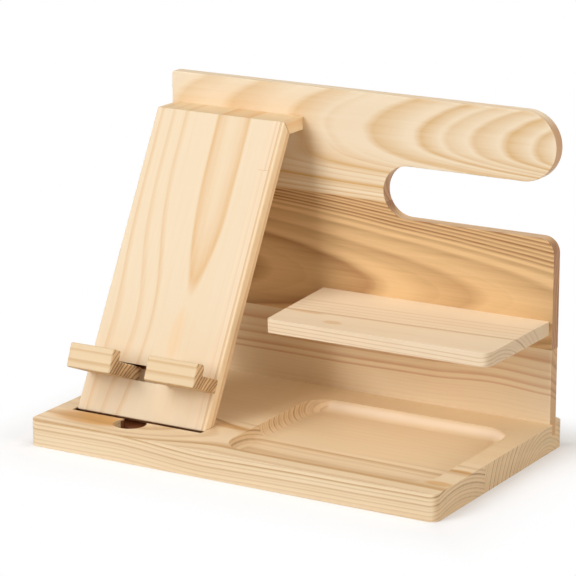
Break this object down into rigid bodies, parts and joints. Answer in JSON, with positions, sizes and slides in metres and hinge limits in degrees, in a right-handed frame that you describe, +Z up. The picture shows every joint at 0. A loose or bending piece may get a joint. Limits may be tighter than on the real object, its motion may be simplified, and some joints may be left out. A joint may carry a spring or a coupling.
{
  "type": "charging station organizer",
  "caption": "Wooden charging stand with a leaning phone panel on ledge hooks, a back board with a watch arm, a small shelf and a base with a coved tray.",
  "frame": {"origin": "middle of the base's underside", "axes": "+X to the right as seen from the front, +Y to the back board, +Z up"},
  "size_m": [0.3, 0.178, 0.223],
  "materials": {
    "base_front_stave": "sanded pine, matte clear oil",
    "base_rear_stave": "sanded pine, matte clear oil",
    "back_lower_stave": "sanded pine, matte clear oil",
    "back_middle_stave": "sanded pine, matte clear oil",
    "back_upper_stave": "sanded pine, matte clear oil",
    "phone_panel": "sanded pine, matte clear oil",
    "panel_strip_lower": "sanded pine, matte clear oil",
    "panel_strip_upper": "sanded pine, matte clear oil",
    "panel_edge_stave": "sanded pine, matte clear oil",
    "bridge": "sanded pine, matte clear oil",
    "left_hook": "sanded pine, matte clear oil",
    "right_hook": "sanded pine, matte clear oil",
    "shelf": "sanded pine, matte clear oil",
    "dowels": "plain beech"
  },
  "bodies": {
    "root": {"base_front_stave": "base_front_stave", "base_rear_stave": "base_rear_stave", "back_lower_stave": "back_lower_stave", "back_middle_stave": "back_middle_stave", "back_upper_stave": "back_upper_stave", "phone_panel": "phone_panel", "panel_strip_lower": "panel_strip_lower", "panel_strip_upper": "panel_strip_upper", "panel_edge_stave": "panel_edge_stave", "bridge": "bridge", "left_hook": "left_hook", "right_hook": "right_hook", "shelf": "shelf", "shelf_dowels": "dowels", "bridge_dowels": "dowels"}
  },
  "joints": []
}
